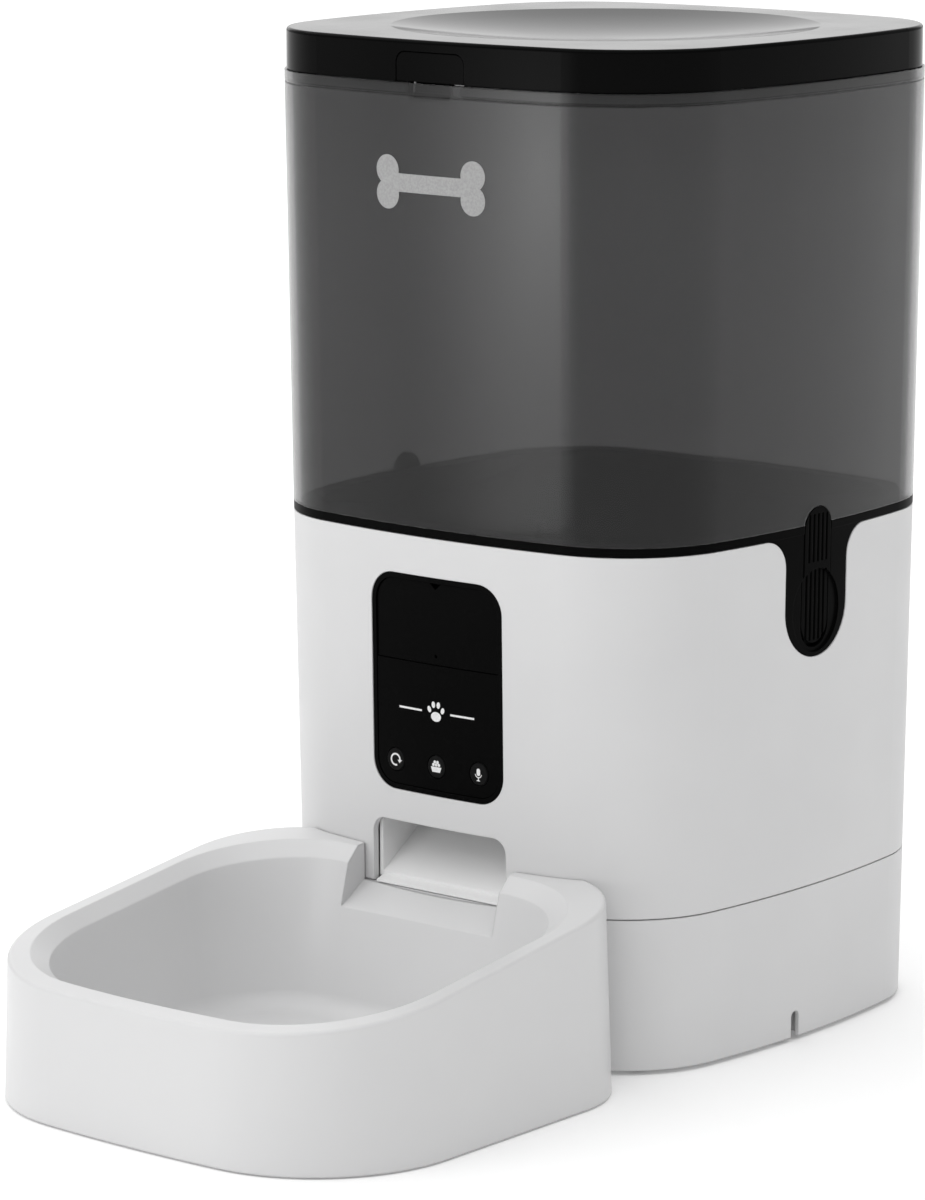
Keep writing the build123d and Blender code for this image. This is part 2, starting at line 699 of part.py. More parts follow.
with BuildPart() as output_gear:
    gear(OUTPUT_TEETH, WHEEL_TOOTH, 0, OUTPUT_LOW, OUTPUT_HIGH)
    rod(SHAFT_RADIUS, 0, CASE_FLOOR + 2.4, 122.6)
    rod(JOURNAL_RADIUS, 0, CASE_FLOOR + 0.8, CASE_FLOOR + 2.4)
    with BuildSketch(level(122.6)):
        RegularPolygon(SHAFT_RADIUS, 6)
    extrude(amount=8.4)
save(output_gear.part, "output_gear")

with BuildPart() as idler_gear_upper:
    gear(WHEEL_TEETH, WHEEL_TOOTH, IDLER_B_Y, IDLER_B_LOW, IDLER_B_HIGH)
    gear(PINION_TEETH, PINION_TOOTH, IDLER_B_Y, IDLER_B_HIGH, OUTPUT_HIGH)
    rod(PIN_RADIUS + RUN_GAP, IDLER_B_Y, CASE_FLOOR, DECK_Z, mode=Mode.SUBTRACT)
save(idler_gear_upper.part, "idler_gear_upper")

with BuildPart() as idler_gear_lower:
    gear(WHEEL_TEETH, WHEEL_TOOTH, IDLER_A_Y, IDLER_A_LOW, IDLER_A_HIGH)
    gear(PINION_TEETH, PINION_TOOTH, IDLER_A_Y, IDLER_A_HIGH, IDLER_B_HIGH)
    rod(PIN_RADIUS + RUN_GAP, IDLER_A_Y, CASE_FLOOR, DECK_Z, mode=Mode.SUBTRACT)
save(idler_gear_lower.part, "idler_gear_lower")

with BuildPart() as motor_pinion:
    gear(PINION_TEETH, PINION_TOOTH, MOTOR_Y, IDLER_A_LOW - 0.4, IDLER_A_HIGH + 0.6)
    rod(MOTOR_SHAFT_RADIUS, MOTOR_Y, CASE_FLOOR, DECK_Z, mode=Mode.SUBTRACT)
save(motor_pinion.part, "motor_pinion")

MOTOR_RADIUS = 12.2
MOTOR_LENGTH = 30.8
with BuildPart() as motor_shaft:
    rod(MOTOR_SHAFT_RADIUS, MOTOR_Y, CASE_FLOOR - 12, IDLER_A_HIGH + 1)
save(motor_shaft.part, "motor_shaft")

with BuildPart() as motor:
    rod(MOTOR_RADIUS, MOTOR_Y, CASE_FLOOR - MOTOR_LENGTH, CASE_FLOOR)
    fillet(motor.edges().group_by(Axis.Z)[0], 1.5)
    rod(5, MOTOR_Y, CASE_FLOOR - MOTOR_LENGTH - 2, CASE_FLOOR - MOTOR_LENGTH)
    rod(MOTOR_SHAFT_RADIUS + RUN_GAP, MOTOR_Y, CASE_FLOOR - 12.5, CASE_FLOOR + 1, mode=Mode.SUBTRACT)
save(motor.part, "motor")

with BuildPart() as idler_pins:
    for y in (IDLER_A_Y, IDLER_B_Y):
        rod(PIN_RADIUS, y, CASE_FLOOR + 0.5, COVER_LOW + 1.5)
save(idler_pins.part, "idler_pins")

CASE_MIDDLE = (CASE_FRONT + CASE_REAR) / 2
CASE_LENGTH = CASE_REAR - CASE_FRONT
with BuildPart() as gearbox_case:
    with BuildSketch(level(CASE_FLOOR, 0, CASE_MIDDLE)):
        RectangleRounded(2 * CASE_HALF, CASE_LENGTH, 4)
    extrude(amount=COVER_LOW - CASE_FLOOR)
    with BuildSketch(level(CASE_FLOOR + 2, 0, CASE_MIDDLE)):
        RectangleRounded(2 * CASE_HALF - 3.6, CASE_LENGTH - 3.6, 2.4)
    extrude(amount=COVER_LOW, mode=Mode.SUBTRACT)
    for y in (IDLER_A_Y, IDLER_B_Y):
        rod(PIN_RADIUS, y, CASE_FLOOR + 0.5, CASE_FLOOR + 3, mode=Mode.SUBTRACT)
    rod(JOURNAL_RADIUS + RUN_GAP, 0, CASE_FLOOR + 0.6, CASE_FLOOR + 3, mode=Mode.SUBTRACT)
    rod(2.2, MOTOR_Y, CASE_FLOOR - 1, CASE_FLOOR + 3, mode=Mode.SUBTRACT)
save(gearbox_case.part, "gearbox_case")

EARS = [(sx * 22.0, y) for sx in (-1, 1) for y in (-8.5, 59.5)]
with BuildPart() as gearbox_cover:
    with BuildSketch(level(COVER_LOW, 0, CASE_MIDDLE)):
        RectangleRounded(2 * CASE_HALF, CASE_LENGTH, 4)
    with BuildSketch(level(COVER_LOW)):
        for y in (-8.5, 59.5):
            with Locations((0, y)):
                SlotOverall(53, 9)
    extrude(amount=DECK_Z - COVER_LOW)
    for x, y in EARS:
        rod(SCREW_HOLE, y, COVER_LOW - 1, DECK_Z + 1, x, mode=Mode.SUBTRACT)
    for y in (IDLER_A_Y, IDLER_B_Y):
        rod(PIN_RADIUS, y, COVER_LOW - 1, COVER_LOW + 1.5, mode=Mode.SUBTRACT)
    rod(SHAFT_RADIUS + RUN_GAP, 0, COVER_LOW - 1, DECK_Z + 1, mode=Mode.SUBTRACT)
save(gearbox_cover.part, "gearbox_cover")

with BuildPart() as gearbox_screws:
    screws(EARS, COVER_LOW - 2, DECK_Z + DECK_THICK, 1.2, 2.5, 2.0)
save(gearbox_screws.part, "gearbox_screws")

# ---------------------------------------------------------------- rotor that portions the food
CUP_WALL = 2.5
FLANGE_RADIUS = CUP_RADIUS + 10
AXLE_HOLE = 7.0
HOUSING_RING = CUP_RADIUS + 6
HOUSING_SCREWS = [(HOUSING_RING * cos(radians(a)), HOUSING_RING * sin(radians(a))) for a in (90, 210, 330)]
with BuildPart() as rotor_housing:
    rod(CUP_RADIUS + CUP_WALL, 0, CUP_FLOOR, CUP_TOP)
    rod(FLANGE_RADIUS, 0, CUP_TOP - CUP_WALL, CUP_TOP)
    rod(CUP_RADIUS, 0, CUP_FLOOR + CUP_WALL, CUP_TOP + 1, mode=Mode.SUBTRACT)
    rod(AXLE_HOLE, 0, CUP_FLOOR - 1, CUP_TOP, mode=Mode.SUBTRACT)
    with BuildSketch(level(CUP_FLOOR, 0, -32.5)):
        RectangleRounded(44, 23, 3)
    extrude(amount=CUP_WALL, mode=Mode.SUBTRACT)
    for x, y in HOUSING_SCREWS:
        rod(SCREW_HOLE, y, CUP_TOP - 3, CUP_TOP + 1, x, Mode.SUBTRACT)
save(rotor_housing.part, "rotor_housing")

with BuildPart() as housing_screws:
    screws(HOUSING_SCREWS, CUP_TOP - 4.5, CUP_TOP + 3.4, SCREW_SHANK, SCREW_HEAD, 2.0)
save(housing_screws.part, "housing_screws")

HUB_RADIUS = 12.0
HUB_TOP = 152.0
with BuildPart() as rotor_hub:
    rod(HUB_RADIUS, 0, CUP_FLOOR + 3, HUB_TOP)
    rod(AXLE_HOLE - RUN_GAP, 0, CUP_FLOOR + 0.3, CUP_FLOOR + 3)
    with BuildSketch(level(CUP_FLOOR)):
        RegularPolygon(SHAFT_RADIUS + 0.35, 6)
    extrude(amount=9.5, mode=Mode.SUBTRACT)
save(rotor_hub.part, "rotor_hub")

with BuildPart() as rotor_vanes:
    rod(HUB_RADIUS + 1.6, 0, CUP_FLOOR + 3.5, HUB_TOP - 1.5)
    for blade in range(6):
        with BuildSketch(level(CUP_FLOOR + 3.5)):
            with Locations(Location((0, 0, 0), 60 * blade)):
                with Locations(((HUB_RADIUS + CUP_RADIUS) / 2, 0)):
                    Rectangle(CUP_RADIUS - HUB_RADIUS - 1.4, 1.8)
        extrude(amount=HUB_TOP - CUP_FLOOR - 5)
    rod(HUB_RADIUS, 0, CUP_FLOOR, HUB_TOP + 1, mode=Mode.SUBTRACT)
save(rotor_vanes.part, "rotor_vanes")

with BuildPart() as stirrer:
    rod(9, 0, HUB_TOP, HUB_TOP + 3)
    with BuildSketch(level(HUB_TOP + 3)):
        SlotOverall(64, 5)
    extrude(amount=3)
    for side in (-1, 1):
        with BuildSketch(level(HUB_TOP + 6, side * 29)):
            Circle(2.5)
        extrude(amount=14, taper=2)
save(stirrer.part, "stirrer")

with BuildPart() as portion_guard:
    with BuildSketch(level(HUB_TOP + 0.4)):
        Circle(CUP_RADIUS)
        Circle(14, mode=Mode.SUBTRACT)
        with Locations((0, -60)):
            Rectangle(70, 88, mode=Mode.INTERSECT)
    extrude(amount=1.6)
save(portion_guard.part, "portion_guard")


# ---------------------------------------------------------------- tank
def above_cone(lift, inset, high):
    """The space above the funnel's sloping floor, inside the feeder's plan."""
    reach = 120
    with BuildPart() as space:
        block(CUP_TOP - 12, high, tank_half, inset)
        with BuildSketch(facing_front(0)) as slope:
            with BuildLine() as edge:
                Polyline(
                    (0, 100),
                    (reach, 100),
                    (reach, FUNNEL_LIP + lift + FUNNEL_SLOPE * (reach - CUP_RADIUS)),
                    (CUP_RADIUS, FUNNEL_LIP + lift),
                    (0, FUNNEL_LIP + lift),
                    close=True,
                )
            make_face(edge.edges())
        revolve(slope.sketch, axis=Axis((0, BODY_Y, 0), (0, 0, 1)), mode=Mode.SUBTRACT)
    return space.part


def side_plates(low, high, outer, inner, draw, start=-120):
    """Plates that follow the curved sides, with the outline that draw makes in (Y, Z)."""
    with BuildPart() as plates:
        skin(low, high, body_half, outer, inner)
        with BuildSketch(facing_side(start)) as face:
            draw()
        extrude(face.sketch, amount=120 - start, mode=Mode.INTERSECT)
    return plates.part


def draw_apron():
    notch_profile(0.3)


def draw_lever():
    rounded_window(LEVER_HALF, LEVER_LOW, LEVER_HIGH, LEVER_HALF - 0.05)


def draw_slot():
    rounded_window(LEVER_HALF + 0.5, LEVER_LOW - 1.5, LEVER_HIGH + 0.4, LEVER_HALF + 0.4)


def draw_oval():
    with Locations((0, 154.2)):
        Ellipse(13.4, 14.8)


def draw_high_grooves():
    with Locations((0, 180)):
        with GridLocations(2.5, 0, 5, 1):
            Rectangle(1.2, 17)


def draw_low_grooves():
    with Locations((0, 156)):
        with GridLocations(2.5, 0, 5, 1):
            Rectangle(1.2, 25)


hollow_funnel = above_cone(0, 10, 192)
funnel_block = above_cone(-2.4, 8, TANK_WALL_BOTTOM)
aprons = side_plates(NOTCH_LOW - 2, BODY_TOP + 1.3, 0.15, 2.4, draw_apron)
lever_slots = side_plates(140, 192, -1, 3.0, draw_slot)
thumb_ovals = side_plates(137, 171, -1, 1.0, draw_oval)

with BuildPart() as tank_collar:
    skin(BODY_TOP + 0.3, TANK_WALL_BOTTOM, tank_half, 0, 8.5)

with BuildPart() as tank_base:
    add(funnel_block)
    rod(FLANGE_RADIUS, 0, CUP_TOP, CUP_TOP + 6)
    add(hollow_funnel, mode=Mode.SUBTRACT)
    rod(CUP_RADIUS, 0, CUP_TOP - 1, CUP_TOP + 20, mode=Mode.SUBTRACT)
    add(tank_collar.part)
    add(aprons)
    # Ears for the latch levers' pins.
    for side in (-1, 1):
        for end in (-10.5, 10.5):
            with BuildSketch(level(LEVER_PIVOT_Z - 2.8, side * (LEVER_PIVOT_X - 0.4), end)):
                Rectangle(5.2, 3.8)
            extrude(amount=BODY_TOP + 1 - LEVER_PIVOT_Z + 2.8)
        with BuildSketch(facing_front(14, side * LEVER_PIVOT_X, LEVER_PIVOT_Z)):
            Circle(PIVOT_PIN + PRESS_GAP)
        extrude(amount=28, mode=Mode.SUBTRACT)
    add(lever_slots, mode=Mode.SUBTRACT)
    add(thumb_ovals, mode=Mode.SUBTRACT)
    for x, y in HOUSING_SCREWS:
        rod(SCREW_SHANK, y, CUP_TOP - 1, CUP_TOP + 3.6, x, Mode.SUBTRACT)
save(tank_base.part, "tank_base")

lever_skin = side_plates(141, 184, 0, 2.2, draw_lever, start=0)
lever_tip = side_plates(183.5, 192, 0, 1.1, draw_lever, start=0)
high_grooves = side_plates(169, 190, -1, 0.45, draw_high_grooves, start=0)
low_grooves = side_plates(142, 169, -1, 1.45, draw_low_grooves, start=0)
with BuildPart() as tank_latch_right:
    add(lever_skin)
    add(lever_tip)
    add(thumb_ovals, mode=Mode.SUBTRACT)
    add(high_grooves, mode=Mode.SUBTRACT)
    add(low_grooves, mode=Mode.SUBTRACT)
    with BuildSketch(facing_front(LEVER_HALF, LEVER_PIVOT_X, LEVER_PIVOT_Z)):
        Circle(2.6)
    extrude(amount=2 * LEVER_HALF)
    # Leg that reaches down behind the body's wall, and its barb.
    with BuildSketch(level(131, 90.2)):
        Rectangle(2, 12)
    extrude(amount=20)
    with BuildSketch(level(143.5, 91.2)):
        Rectangle(3.4, 10)
    extrude(amount=7.5)
    with BuildSketch(level(131, 91)):
        Rectangle(3.7, 12)
    extrude(amount=3)
    with BuildSketch(facing_front(LEVER_HALF + 2, LEVER_PIVOT_X, LEVER_PIVOT_Z)):
        Circle(PIVOT_PIN + RUN_GAP)
    extrude(amount=2 * LEVER_HALF + 4, mode=Mode.SUBTRACT)
save(tank_latch_right.part, "tank_latch_right")

with BuildPart() as tank_latch_left:
    mirror(tank_latch_right.part, about=Plane.YZ)
save(tank_latch_left.part, "tank_latch_left")

with BuildPart() as latch_pins:
    for side in (-1, 1):
        with BuildSketch(facing_front(12.4, side * LEVER_PIVOT_X, LEVER_PIVOT_Z)):
            Circle(PIVOT_PIN)
        extrude(amount=24.8)
save(latch_pins.part, "latch_pins")

# Torsion springs, one coil either side of each lever, with one leg behind the collar.
with BuildPart() as latch_springs:
    for side in (-1, 1):
        for end in (-8.05, 8.05):
            with BuildSketch(facing_front(end + 0.4, side * LEVER_PIVOT_X, LEVER_PIVOT_Z)):
                Circle(1.8)
                Circle(1.2, mode=Mode.SUBTRACT)
                with Locations((-side * 1.5, 2.6)):
                    Rectangle(0.6, 5.2)
            extrude(amount=0.8)
save(latch_springs.part, "latch_springs")

LATCH_POCKET = 9.0
tongue_slots = side_plates(184, 192, -1, 1.5, draw_slot)
with BuildPart() as rim_groove:
    block(TANK_LINE - 0.3, TANK_LINE + 0.3, tank_half, -2)
    block(TANK_LINE - 1, TANK_LINE + 1, tank_half, 0.35, mode=Mode.SUBTRACT)

with BuildPart() as tank_shell:
    block(TANK_WALL_BOTTOM, TANK_TOP, tank_half)
    # Hinge knuckles on the back, each with a web to the rim.
    for side in (-1, 1):
        with BuildSketch(facing_side(side * 24.1 - 5.9)):
            with Locations((HINGE_Y, HINGE_Z)):
                Circle(HINGE_RADIUS)
            with Locations((97, 336.4)):
                Rectangle(5, 3.6)
        extrude(amount=11.8)
    block(TANK_WALL_BOTTOM - 1, TANK_TOP + 3, tank_half, WALL, mode=Mode.SUBTRACT)
    with BuildSketch(facing_side(-40)):
        with Locations((HINGE_Y, HINGE_Z)):
            Circle(PIVOT_PIN + PRESS_GAP)
    extrude(amount=80, mode=Mode.SUBTRACT)
    with BuildSketch(facing_side(-18.1)):
        with Locations((HINGE_Y, HINGE_Z)):
            Circle(HINGE_RADIUS + 0.3)
    extrude(amount=36.2, mode=Mode.SUBTRACT)
    add(tongue_slots, mode=Mode.SUBTRACT)
    # Pocket behind the front rim for the lid's catch.
    with BuildSketch(level(332.5, 0, -94)):
        Rectangle(2 * LATCH_POCKET, 3.2)
    extrude(amount=7, mode=Mode.SUBTRACT)
    # Fine groove under the rim.
    add(rim_groove.part, mode=Mode.SUBTRACT)
save(tank_shell.part, "tank_shell")

# ---------------------------------------------------------------- lid
LID_LOW = TANK_TOP + 0.3
LID_WALL = 2.4
LID_ROOF = 350.6
DISH_CURVE = (DISH_RADIUS**2 + DISH_DEPTH**2) / (2 * DISH_DEPTH)
CATCH_HALF = 15.0
CATCH_HIGH = 349.2
CATCH_PIVOT_Y = -92.6
CATCH_PIVOT_Z = 346.6


def front_lid_plate(outer, inner, low, high, half, radius):
    """A plate cut from the lid's front skirt, with round upper corners."""
    with BuildPart() as plate:
        skin(low, high + 1, lid_half, outer, inner)
        with BuildSketch(facing_front(-70)) as window:
            rounded_window(half, low - 20, high, radius)
        extrude(window.sketch, amount=40, mode=Mode.INTERSECT)
    return plate.part


catch_window = front_lid_plate(-2, 3.0, LID_LOW - 1, CATCH_HIGH, CATCH_HALF + 0.3, 4)
with BuildPart() as lid_shell:
    block(LID_LOW, LID_TOP, lid_half)
    fillet(lid_shell.edges().group_by(Axis.Z)[-1], 1.3)
    block(LID_LOW - 1, LID_ROOF, lid_half, LID_WALL, mode=Mode.SUBTRACT)
    rod(DISH_RADIUS + 2, 0, LID_TOP - DISH_DEPTH - 2.4, LID_ROOF + 0.5)
    with BuildSketch(facing_front(0)):
        with BuildLine():
            Line((0, LID_TOP - DISH_DEPTH), (0, LID_TOP + 1))
            Line((0, LID_TOP + 1), (DISH_RADIUS, LID_TOP + 1))
            Line((DISH_RADIUS, LID_TOP + 1), (DISH_RADIUS, LID_TOP))
            RadiusArc((DISH_RADIUS, LID_TOP), (0, LID_TOP - DISH_DEPTH), DISH_CURVE)
        make_face()
    revolve(axis=Axis((0, BODY_Y, 0), (0, 0, 1)), mode=Mode.SUBTRACT)
    add(catch_window, mode=Mode.SUBTRACT)
    # Ears for the catch's pin.
    for side in (-1, 1):
        with BuildSketch(level(CATCH_PIVOT_Z - 2, side * 17.3, CATCH_PIVOT_Y + 0.6)):
            Rectangle(2.6, 4)
        extrude(amount=LID_ROOF + 0.5 - CATCH_PIVOT_Z + 2)
    with BuildSketch(facing_side(-19, CATCH_PIVOT_Y, CATCH_PIVOT_Z)):
        Circle(CATCH_PIN + PRESS_GAP)
    extrude(amount=38, mode=Mode.SUBTRACT)
    # Middle hinge knuckle and its web.
    with BuildSketch(facing_side(-17.8)):
        with Locations((HINGE_Y, HINGE_Z)):
            Circle(HINGE_RADIUS)
        with Locations((96.6, 341.2)):
            Rectangle(5.8, 4)
    extrude(amount=35.6)
    with BuildSketch(facing_side(-19)):
        with Locations((HINGE_Y, HINGE_Z)):
            Circle(PIVOT_PIN + RUN_GAP)
    extrude(amount=38, mode=Mode.SUBTRACT)
save(lid_shell.part, "lid_shell")

with BuildPart() as lid_hinge_pin:
    with BuildSketch(facing_side(-30.5)):
        with Locations((HINGE_Y, HINGE_Z)):
            Circle(PIVOT_PIN)
    extrude(amount=61)
save(lid_hinge_pin.part, "lid_hinge_pin")

LINER_GAP = 12.0
LINER_LIP = 333.5
LINER_INNER = 6.5
BOX_HOLE = 44.0
with BuildPart() as lid_liner:
    block(LID_LOW + 0.3, LID_TOP - DISH_DEPTH - 2.6, tank_half, 3.6)
    block(LID_LOW - 1, LID_TOP - DISH_DEPTH - 4.0, tank_half, LINER_INNER, mode=Mode.SUBTRACT)
    block(LINER_LIP, LID_LOW + 0.4, tank_half, 4.5)
    block(LINER_LIP - 1.5, LID_LOW + 1, tank_half, LINER_INNER, mode=Mode.SUBTRACT)
    rod(BOX_HOLE, 0, LID_LOW, LID_TOP, mode=Mode.SUBTRACT)
    with BuildSketch(level(330, 0, -92)):
        Rectangle(2 * LINER_GAP, 10)
    extrude(amount=13, mode=Mode.SUBTRACT)
    # Room for the catch to swing.
    with BuildSketch(level(LID_LOW, 0, -92.5)):
        Rectangle(40, 7)
    extrude(amount=9.3, mode=Mode.SUBTRACT)
save(lid_liner.part, "lid_liner")

with BuildPart() as lid_seal:
    skin(335, 337.6, tank_half, 2.85, 4.5)
    with BuildSketch(level(330, 0, -92)):
        Rectangle(2 * LINER_GAP, 10)
    extrude(amount=13, mode=Mode.SUBTRACT)
save(lid_seal.part, "lid_seal")

catch_plate = front_lid_plate(0.15, 2.2, LID_LOW + 0.2, CATCH_HIGH - 0.3, CATCH_HALF, 3.8)
with BuildPart() as lid_latch:
    add(catch_plate)
    with BuildSketch(facing_side(-14, CATCH_PIVOT_Y, CATCH_PIVOT_Z)):
        Circle(1.9)
    extrude(amount=28)
    with BuildSketch(level(333.2, 0, -92.85)):
        Rectangle(16, 1.5)
    extrude(amount=13)
    with BuildSketch(level(333.2, 0, -93.8)):
        Rectangle(16, 2.2)
    extrude(amount=2.2)
    with BuildSketch(facing_side(-15, CATCH_PIVOT_Y, CATCH_PIVOT_Z)):
        Circle(CATCH_PIN + RUN_GAP)
    extrude(amount=30, mode=Mode.SUBTRACT)
save(lid_latch.part, "lid_latch")

with BuildPart() as lid_latch_pin:
    with BuildSketch(facing_side(-18.4, CATCH_PIVOT_Y, CATCH_PIVOT_Z)):
        Circle(CATCH_PIN)
    extrude(amount=36.8)
save(lid_latch_pin.part, "lid_latch_pin")

DESICCANT_LOW = 331.0
DESICCANT_TOP = LID_TOP - DISH_DEPTH - 2.6
with BuildPart() as desiccant_box:
    rod(40, 0, DESICCANT_LOW, DESICCANT_TOP)
    rod(BOX_HOLE - 0.2, 0, DESICCANT_TOP - 1.4, DESICCANT_TOP)
    rod(38.4, 0, DESICCANT_LOW - 1, DESICCANT_TOP - 1.6, mode=Mode.SUBTRACT)
save(desiccant_box.part, "desiccant_box")

with BuildPart() as desiccant_grille:
    with BuildSketch(level(DESICCANT_LOW)):
        Circle(38.2)
        for ring, count in ((12, 6), (21, 12), (30, 18)):
            with PolarLocations(ring, count):
                SlotOverall(6, 2, mode=Mode.SUBTRACT)
    extrude(amount=1.6)
save(desiccant_grille.part, "desiccant_grille")

with BuildPart() as desiccant_sachet:
    with BuildSketch(level(DESICCANT_LOW + 2.2)):
        RectangleRounded(50, 50, 6)
    extrude(amount=6.5)
    fillet(desiccant_sachet.edges(), 2)
save(desiccant_sachet.part, "desiccant_sachet")

# ---------------------------------------------------------------- bowl
BOWL_DRAFT = 2.4
BOWL_TOP = 74.0
BOWL_WALL = 2.6
RIM_WIDTH = 6.0
RIM_ROUND = 1.2
INNER_REAR = -95.0
INNER_REAR_CORNER = 42.0
INNER_FRONT_CORNER = 49.0
BOWL_FLOOR = 11.0
RIM_MIDDLE = (BOWL_FRONT + INNER_REAR) / 2
RAMP_TOP = 55.0
RAMP_SLOPE = 0.6
RAMP_REAR = -93.0
FRONT_BOW = 6.5
FRONT_NARROWING = 0.5
BOWL_FOOT_RADIUS = 5.5
BOWL_FEET = [(sx * 62.0, y) for sx in (-1, 1) for y in (-218.0, -126.0)]


def rim_z(y):
    return BOWL_RIM_Z + BOWL_RIM_SLOPE * (y - BOWL_RIM_Y)


def rim_plane(lower):
    """The bowl's tilted rim, or a plane parallel to it at a lower height."""
    return Plane(
        origin=(0, BODY_Y + RIM_MIDDLE, rim_z(RIM_MIDDLE) - lower),
        x_dir=(1, 0, 0),
        z_dir=(0, -BOWL_RIM_SLOPE, 1),
    )


def bowl_section(plane, front, rear, half, front_corner, rear_corner):
    """A rounded section of the bowl with a bowed front; its y is measured along the plane."""
    with BuildSketch(plane) as section:
        with BuildLine() as edge:
            front_at = half - FRONT_NARROWING
            ThreePointArc((-front_at, front + FRONT_BOW), (0, front), (front_at, front + FRONT_BOW))
            Line((front_at, front + FRONT_BOW), (half, rear))
            Line((half, rear), (-half, rear))
            Line((-half, rear), (-front_at, front + FRONT_BOW))
        make_face(edge.edges())
        fillet(section.vertices().sort_by(Axis.Y)[:2], front_corner)
        fillet(section.vertices().sort_by(Axis.Y)[-2:], rear_corner)
    return section.sketch


def outside(inset, z):
    return bowl_section(level(z), BOWL_FRONT + inset, BOWL_REAR - inset, BOWL_HALF - inset,
                        BOWL_FRONT_CORNER - inset, BOWL_REAR_CORNER - inset)


def inside(inset, plane, shift):
    return bowl_section(plane, BOWL_FRONT + RIM_WIDTH + 2 + inset - shift, INNER_REAR - inset - shift,
                        BOWL_HALF - RIM_WIDTH - 1.8 - inset, INNER_FRONT_CORNER - inset / 2,
                        INNER_REAR_CORNER - inset / 2)


def bowl_basin(grow):
    """The bowl's inside: a sloping band under the rim, then a basin with a round bottom."""
    with BuildPart() as basin:
        loft([inside(-0.6 - grow, rim_plane(-0.6), RIM_MIDDLE),
              inside(5.5 - grow, rim_plane(4.5 + grow), RIM_MIDDLE),
              inside(20 - grow, level(BOWL_FLOOR - grow), 0)], ruled=True)
        fillet(basin.edges().group_by(Axis.Z)[0], 9)
    return basin.part


def bowl_channel(grow):
    """The way in from the outlet: a ramp between two walls, running down into the basin."""
    low_y = RAMP_REAR - (RAMP_TOP - BOWL_FLOOR) / RAMP_SLOPE
    with BuildPart() as channel:
        with BuildSketch(facing_side(-CHANNEL_HALF - grow)):
            with BuildLine():
                Polyline(
                    (-80, RAMP_TOP - grow),
                    (RAMP_REAR, RAMP_TOP - grow),
                    (low_y, BOWL_FLOOR - grow),
                    (low_y, BOWL_TOP + 4),
                    (-80, BOWL_TOP + 4),
                    close=True,
                )
            make_face()
        extrude(amount=2 * (CHANNEL_HALF + grow))
    return channel.part


basin = bowl_basin(0)
channel = bowl_channel(0)
basin_grown = bowl_basin(BOWL_WALL)
channel_grown = bowl_channel(BOWL_WALL)

with BuildPart() as bowl_underside:
    loft([outside(BOWL_WALL, BOWL_BOTTOM - 1), outside(BOWL_WALL + BOWL_DRAFT, BOWL_TOP)])
    split(bisect_by=rim_plane(BOWL_WALL), keep=Keep.BOTTOM)
    block(-1, BOWL_TOP + 2, body_half, -0.5 - BOWL_WALL, mode=Mode.SUBTRACT)
    add(basin_grown, mode=Mode.SUBTRACT)
    add(channel_grown, mode=Mode.SUBTRACT)

with BuildPart() as bowl:
    loft([outside(0, BOWL_BOTTOM), outside(BOWL_DRAFT, BOWL_TOP)])
    split(bisect_by=rim_plane(0), keep=Keep.BOTTOM)
    fillet(bowl.faces().sort_by(Axis.Z)[-1].edges(), RIM_ROUND)
    block(-1, BOWL_TOP + 2, body_half, -0.5, mode=Mode.SUBTRACT)
    add(bowl_underside.part, mode=Mode.SUBTRACT)
    add(basin, mode=Mode.SUBTRACT)
    add(channel, mode=Mode.SUBTRACT)
    # Sockets for the feet.
    for x, y in BOWL_FEET:
        rod(BOWL_FOOT_RADIUS + 1, y, BOWL_BOTTOM + 1.6, BOWL_FLOOR, x)
save(bowl.part, "bowl")

with BuildPart() as bowl_feet:
    for x, y in BOWL_FEET:
        rod(BOWL_FOOT_RADIUS, y, 0, BOWL_BOTTOM + 1.6, x)
save(bowl_feet.part, "bowl_feet")
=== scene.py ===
import json
from math import cos, pi, radians, sin

import bmesh
import bpy
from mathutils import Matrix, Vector


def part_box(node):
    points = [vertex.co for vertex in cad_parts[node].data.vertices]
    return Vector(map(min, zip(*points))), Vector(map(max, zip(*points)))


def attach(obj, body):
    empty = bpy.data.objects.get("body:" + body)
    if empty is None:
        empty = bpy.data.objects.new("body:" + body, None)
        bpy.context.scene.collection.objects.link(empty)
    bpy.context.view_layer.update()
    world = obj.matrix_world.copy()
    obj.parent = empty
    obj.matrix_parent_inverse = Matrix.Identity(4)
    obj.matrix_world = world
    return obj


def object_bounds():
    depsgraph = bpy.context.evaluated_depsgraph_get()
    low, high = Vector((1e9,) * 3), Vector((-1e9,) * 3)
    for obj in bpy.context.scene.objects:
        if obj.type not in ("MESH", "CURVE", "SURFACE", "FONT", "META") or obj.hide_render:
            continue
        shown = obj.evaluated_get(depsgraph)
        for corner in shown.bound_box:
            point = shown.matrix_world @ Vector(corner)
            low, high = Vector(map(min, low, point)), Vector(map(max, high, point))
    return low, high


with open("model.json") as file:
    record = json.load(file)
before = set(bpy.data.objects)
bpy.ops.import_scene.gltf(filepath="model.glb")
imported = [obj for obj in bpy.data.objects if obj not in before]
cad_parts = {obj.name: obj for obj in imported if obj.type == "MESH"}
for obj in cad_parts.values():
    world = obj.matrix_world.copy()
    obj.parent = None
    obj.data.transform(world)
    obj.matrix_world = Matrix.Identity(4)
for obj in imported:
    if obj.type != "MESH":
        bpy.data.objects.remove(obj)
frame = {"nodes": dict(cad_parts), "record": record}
cad_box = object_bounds()
nodes = frame["nodes"]

MM = 0.001
NOISE_RANGE = (0.35, 0.65)  # where most of a noise texture's values lie


